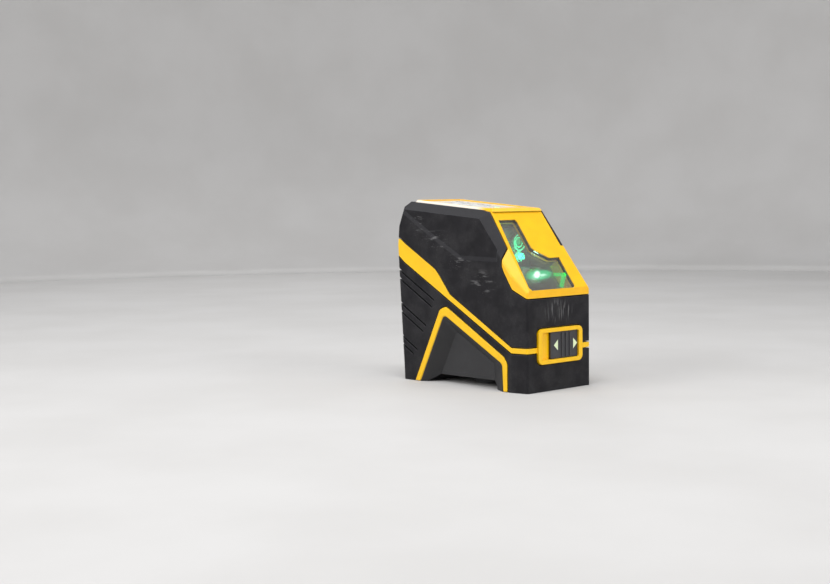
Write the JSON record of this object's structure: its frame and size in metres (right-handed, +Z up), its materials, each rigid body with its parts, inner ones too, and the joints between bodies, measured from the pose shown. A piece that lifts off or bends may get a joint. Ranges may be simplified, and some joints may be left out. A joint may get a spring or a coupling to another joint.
{
  "type": "self-levelling cross-line laser level",
  "caption": "Tripod-mount self-levelling cross-line laser level with rubber-clad shell, angled window, slide lock and rear battery door.",
  "frame": {"origin": "centre of the bounding box in plan, on the plane of the feet", "axes": "+Z up, -Y towards the window and the lock switch (the way the laser lines leave), +X to the right seen from behind the keypad facing the window side of the work"},
  "size_m": [0.0596, 0.11, 0.1119],
  "materials": {
    "rubber_skin": "soft-touch overmoulded rubber, fine satin",
    "arch_trim": "satin moulded trim",
    "pocket_liner": "fine texture",
    "base_plastic": "fine texture",
    "brass_insert": "machined",
    "yellow_shell": "fine satin moulding",
    "window_glass": "polished",
    "gasket_rubber": "matte",
    "keypad_panel": "glossy membrane",
    "button_caps": "glossy",
    "lamp_lens": "clear lens",
    "led_body": "clear resin",
    "circuit_board": "solder mask",
    "switch_metal": "tinned",
    "slider_plastic": "satin moulding",
    "arrow_paint": "pad-printed infill",
    "lever_steel": "stamped",
    "brake_rubber": "matte",
    "cast_frame": "die cast",
    "bearing_steel": "ground",
    "pendulum_alloy": "die cast, bead blasted",
    "brass_weight": "machined",
    "module_brass": "turned",
    "optic_glass": "polished",
    "screw_steel": "zinc plated",
    "damper_alloy": "machined",
    "magnet_nickel": "nickel plated",
    "tray_plastic": "fine texture",
    "cell_jacket": "shrink jacket over a steel can",
    "contact_nickel": "nickel plated"
  },
  "bodies": {
    "housing": {"arch_trim_left": "arch_trim", "arch_trim_right": "arch_trim", "base_plate": "base_plastic", "battery_cells": "cell_jacket", "battery_contacts": "contact_nickel", "battery_tray": "tray_plastic", "bracket_screws": "screw_steel", "damping_magnets": "magnet_nickel", "door_hinge_pin": "bearing_steel", "gimbal_bracket": "cast_frame", "housing_screws": "screw_steel", "keypad_board": "circuit_board", "keypad_panel": "keypad_panel", "lower_housing": "yellow_shell", "lower_overmould": "rubber_skin", "main_board": "circuit_board", "outer_bearings": "bearing_steel", "side_pocket_left": "pocket_liner", "side_pocket_right": "pocket_liner", "status_lamp": "lamp_lens", "status_led": "led_body", "tact_switches": "switch_metal", "tripod_insert": "brass_insert", "upper_housing": "yellow_shell", "upper_overmould": "rubber_skin", "window_frame": "yellow_shell", "window_gasket": "gasket_rubber", "window_lens": "window_glass"},
    "lock_slider": {"slider_knob": "slider_plastic", "slider_arrows": "arrow_paint", "slider_carriage": "slider_plastic"},
    "lock_lever_body": {"lock_lever": "lever_steel", "brake_pad": "brake_rubber"},
    "gimbal_ring_body": {"gimbal_ring": "cast_frame", "inner_bearings": "bearing_steel", "ring_pivot_pins": "bearing_steel"},
    "pendulum": {"pendulum_body": "pendulum_alloy", "counterweight": "brass_weight", "vertical_line_module": "module_brass", "vertical_line_lens": "optic_glass", "horizontal_line_module": "module_brass", "horizontal_rod_lens": "optic_glass", "module_clamp_screws": "screw_steel", "damper_plate": "damper_alloy", "damper_screws": "screw_steel", "pendulum_pivot_pins": "bearing_steel"},
    "button_front": {"keypad_button_1": "button_caps"},
    "button_rear": {"keypad_button_2": "button_caps"},
    "door": {"battery_door": "rubber_skin"}
  },
  "joints": [
    {"name": "lock_slide", "type": "slide", "parent": "housing", "child": "lock_slider", "axis": [1, 0, 0], "range_m": [-0.008, 0]},
    {"name": "lever_lift", "type": "slide", "parent": "housing", "child": "lock_lever_body", "axis": [0, 0, 1], "range_m": [0, 0.0024]},
    {"name": "gimbal_pitch", "type": "hinge", "parent": "housing", "child": "gimbal_ring_body", "pos_m": [0, -0.008, 0.0755], "axis": [1, 0, 0], "range_deg": [-4, 4]},
    {"name": "gimbal_roll", "type": "hinge", "parent": "gimbal_ring_body", "child": "pendulum", "pos_m": [0, -0.008, 0.0755], "axis": [0, 1, 0], "range_deg": [-4, 4]},
    {"name": "button_front_press", "type": "slide", "parent": "housing", "child": "button_front", "axis": [0, 0.085, -0.9964], "range_m": [0, 0.0006], "stiffness_N_per_m": 800, "springref_m": -0.0004},
    {"name": "button_rear_press", "type": "slide", "parent": "housing", "child": "button_rear", "axis": [0, 0.085, -0.9964], "range_m": [0, 0.0006], "stiffness_N_per_m": 800, "springref_m": -0.0004},
    {"name": "door_hinge", "type": "hinge", "parent": "housing", "child": "door", "pos_m": [0, 0.0482, 0.0096], "axis": [-1, 0, 0], "range_deg": [0, 90]}
  ],
  "couplings": [
    {"joint": "lever_lift", "follows": "lock_slide", "ratio": -0.3}
  ]
}
